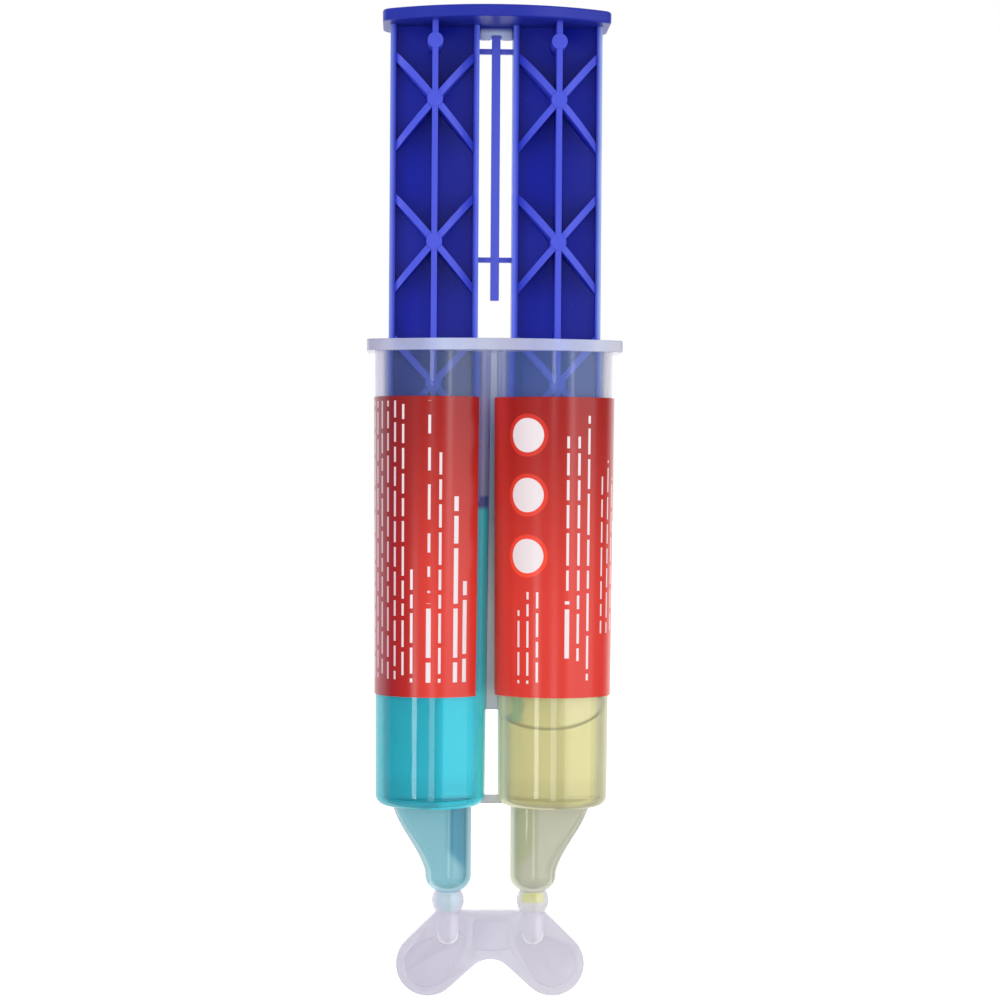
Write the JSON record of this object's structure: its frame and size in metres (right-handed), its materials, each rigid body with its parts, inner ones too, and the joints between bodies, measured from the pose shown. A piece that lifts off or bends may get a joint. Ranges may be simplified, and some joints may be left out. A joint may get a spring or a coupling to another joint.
{
  "type": "epoxy syringe",
  "caption": "Twin-barrel epoxy syringe with ribbed plunger, break-off mixing stick, wrap label and snap-off tab over the nozzles.",
  "frame": {"origin": "centre of the finger flange's underside, where two fingers pull, between the two barrels", "axes": "+Z along the barrels towards the thumb plate, +X towards the resin barrel, -Y towards the front, where the label's ends meet"},
  "size_m": [0.0444, 0.025, 0.1716],
  "materials": {
    "natural_pp": "natural translucent polypropylene, slightly frosted",
    "blue_pp": "blue polypropylene, as moulded",
    "label_film": "red printed gloss film",
    "hardener": "turquoise viscous adhesive",
    "resin": "clear straw-coloured viscous adhesive"
  },
  "bodies": {
    "barrels": {"hardener_barrel": "natural_pp", "resin_barrel": "natural_pp", "hardener_nozzle": "natural_pp", "resin_nozzle": "natural_pp", "finger_flange": "natural_pp", "spine_web": "natural_pp", "foot_web": "natural_pp", "wrap_label": "label_film", "hardener_fill": "hardener", "resin_fill": "resin", "hardener_nozzle_fill": "hardener", "resin_nozzle_fill": "resin"},
    "plunger": {"thumb_plate": "blue_pp", "hardener_rod": "blue_pp", "resin_rod": "blue_pp", "hardener_piston": "blue_pp", "resin_piston": "blue_pp"},
    "stick": {"mixing_stick": "blue_pp"},
    "tab": {"snap_off_tab": "natural_pp", "hardener_bead": "natural_pp", "resin_bead": "natural_pp"}
  },
  "joints": [
    {"name": "plunger_slide", "type": "slide", "parent": "barrels", "child": "plunger", "axis": [0, 0, -1], "range_m": [0, 0.05], "deforming": ["hardener_fill", "resin_fill"]},
    {"name": "stick_pull", "type": "slide", "parent": "plunger", "child": "stick", "axis": [0, -1, 0], "range_m": [0, 0.115]},
    {"name": "tab_pull", "type": "slide", "parent": "barrels", "child": "tab", "axis": [0, 0, -1], "range_m": [0, 0.03]}
  ],
  "couplings": [
    {"joint": "stick_pull", "follows": "plunger_slide", "ratio": 2.25}
  ]
}
